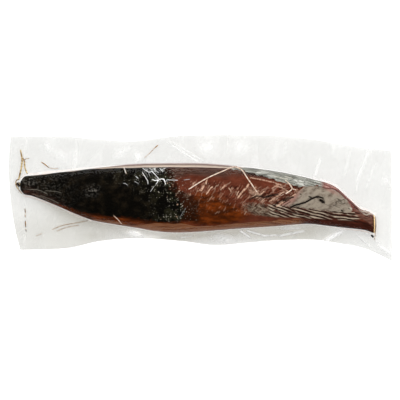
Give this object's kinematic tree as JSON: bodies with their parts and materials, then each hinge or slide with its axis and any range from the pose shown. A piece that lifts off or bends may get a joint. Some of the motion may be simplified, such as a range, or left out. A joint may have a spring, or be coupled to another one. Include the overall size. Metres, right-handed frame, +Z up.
{
  "type": "vacuum-packed smoked fish loin",
  "caption": "Smoked fish loin with dark glossy skin and bare flesh, sealed flat in a clear wrinkled vacuum pouch with bits of straw under the film.",
  "frame": {"origin": "on the table, below the middle of the pack's box seen from above", "axes": "+Z up, out of the side that shows; +X along the loin from the tied tail stump to the cut head end; +Y across the pack"},
  "size_m": [0.345, 0.1136, 0.0407],
  "materials": {
    "smoked_flesh": "dark red-brown smoked flesh and near-black skin, wet and glossy under tight film",
    "clear_film": "clear glossy pouch film, softly wrinkled"
  },
  "bodies": {
    "root": {"smoked_loin": "smoked_flesh", "pouch_margin": "clear_film"}
  },
  "joints": []
}
